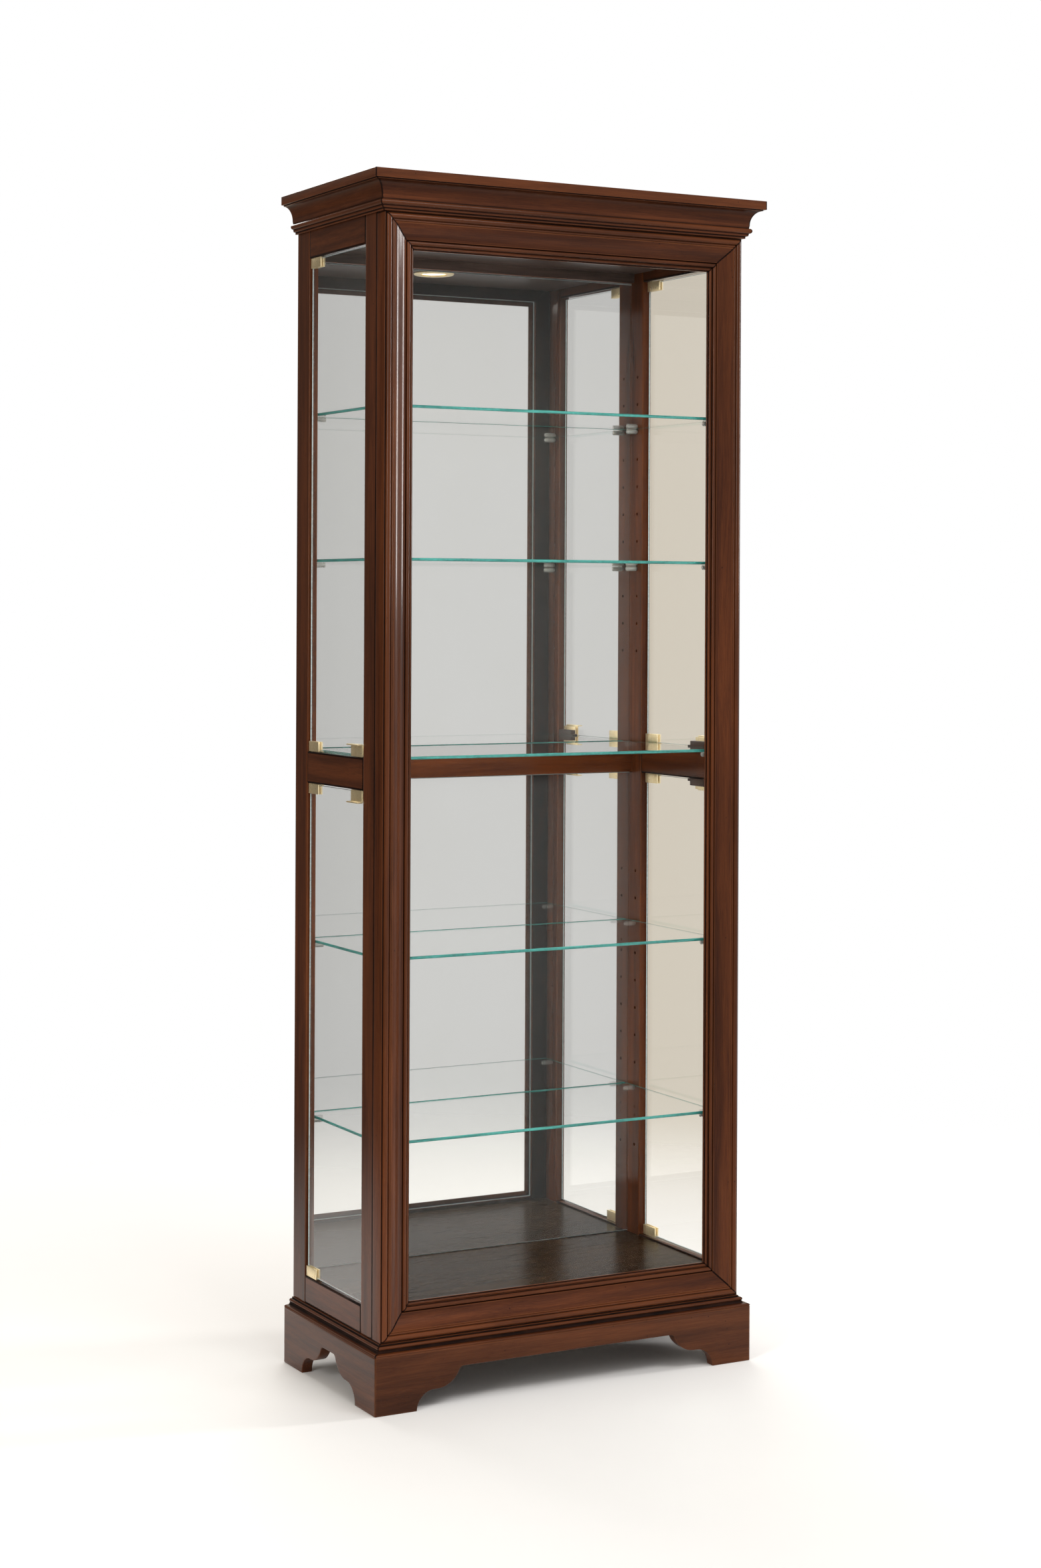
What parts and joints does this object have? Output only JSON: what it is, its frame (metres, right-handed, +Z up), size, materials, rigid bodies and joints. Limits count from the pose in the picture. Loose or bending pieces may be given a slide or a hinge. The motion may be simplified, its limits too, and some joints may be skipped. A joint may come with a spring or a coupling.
{
  "type": "curio cabinet",
  "caption": "Tall glazed display cabinet with a fixed moulded glass front, hinged glass side doors, glass shelves, a mirror back and a plinth with bracket feet.",
  "frame": {"origin": "on the floor, under the middle of the box round the whole cabinet", "axes": "+Z up, the fixed glass front faces -Y, +X is to the right of someone who faces the front"},
  "size_m": [0.758, 0.383, 2.032],
  "materials": {
    "cherry_wood": "satin lacquer over a red-brown cherry stain",
    "dark_wood": "gloss lacquer, dark",
    "backing_board": "unfinished hardboard",
    "mirror": "silvered back mirror",
    "clear_glass": "clear, polished green edges",
    "aged_brass": "satin antique brass",
    "brown_plastic": "moulded, matt",
    "lamp_metal": "satin nickel",
    "lamp_glass": "frosted"
  },
  "bodies": {
    "cabinet": {"plinth_front": "cherry_wood", "plinth_left": "cherry_wood", "plinth_right": "cherry_wood", "plinth_back": "cherry_wood", "base_cap_front": "cherry_wood", "base_cap_left": "cherry_wood", "base_cap_right": "cherry_wood", "cornice_front": "cherry_wood", "cornice_left": "cherry_wood", "cornice_right": "cherry_wood", "top_board": "cherry_wood", "rear_post_left": "cherry_wood", "rear_post_right": "cherry_wood", "front_post_left": "cherry_wood", "front_post_right": "cherry_wood", "front_frame_left": "cherry_wood", "front_frame_right": "cherry_wood", "front_frame_top": "cherry_wood", "front_frame_bottom": "cherry_wood", "back_rail": "cherry_wood", "side_rail_top_left": "cherry_wood", "side_rail_middle_left": "cherry_wood", "side_rail_bottom_left": "cherry_wood", "side_rail_top_right": "cherry_wood", "side_rail_middle_right": "cherry_wood", "side_rail_bottom_right": "cherry_wood", "deck": "dark_wood", "ceiling": "dark_wood", "back_board": "backing_board", "mirror_lower": "mirror", "mirror_upper": "mirror", "front_glass": "clear_glass", "shelf_1": "clear_glass", "shelf_2": "clear_glass", "shelf_3": "clear_glass", "shelf_4": "clear_glass", "shelf_5": "clear_glass", "catch_upper_left": "brown_plastic", "catch_lower_left": "brown_plastic", "catch_upper_right": "brown_plastic", "catch_lower_right": "brown_plastic", "lamp_can": "lamp_metal", "lamp_trim": "lamp_metal", "lamp_lens": "lamp_glass"},
    "door_upper_left": {"door_glass_upper_left": "clear_glass", "hinge_upper_left_bottom": "aged_brass", "hinge_upper_left_top": "aged_brass", "pull_upper_left": "aged_brass"},
    "door_lower_left": {"door_glass_lower_left": "clear_glass", "hinge_lower_left_bottom": "aged_brass", "hinge_lower_left_top": "aged_brass", "pull_lower_left": "aged_brass"},
    "door_upper_right": {"door_glass_upper_right": "clear_glass", "hinge_upper_right_bottom": "aged_brass", "hinge_upper_right_top": "aged_brass", "pull_upper_right": "aged_brass"},
    "door_lower_right": {"door_glass_lower_right": "clear_glass", "hinge_lower_right_bottom": "aged_brass", "hinge_lower_right_top": "aged_brass", "pull_lower_right": "aged_brass"}
  },
  "joints": [
    {"name": "door_upper_left_swing", "type": "hinge", "parent": "cabinet", "child": "door_upper_left", "pos_m": [-0.3405, 0.1335, 1.4945], "axis": [0, 0, -1], "range_deg": [0, 100]},
    {"name": "door_lower_left_swing", "type": "hinge", "parent": "cabinet", "child": "door_lower_left", "pos_m": [-0.3405, 0.1335, 0.587], "axis": [0, 0, -1], "range_deg": [0, 100]},
    {"name": "door_upper_right_swing", "type": "hinge", "parent": "cabinet", "child": "door_upper_right", "pos_m": [0.3405, 0.1335, 1.4945], "axis": [0, 0, 1], "range_deg": [0, 100]},
    {"name": "door_lower_right_swing", "type": "hinge", "parent": "cabinet", "child": "door_lower_right", "pos_m": [0.3405, 0.1335, 0.587], "axis": [0, 0, 1], "range_deg": [0, 100]}
  ]
}
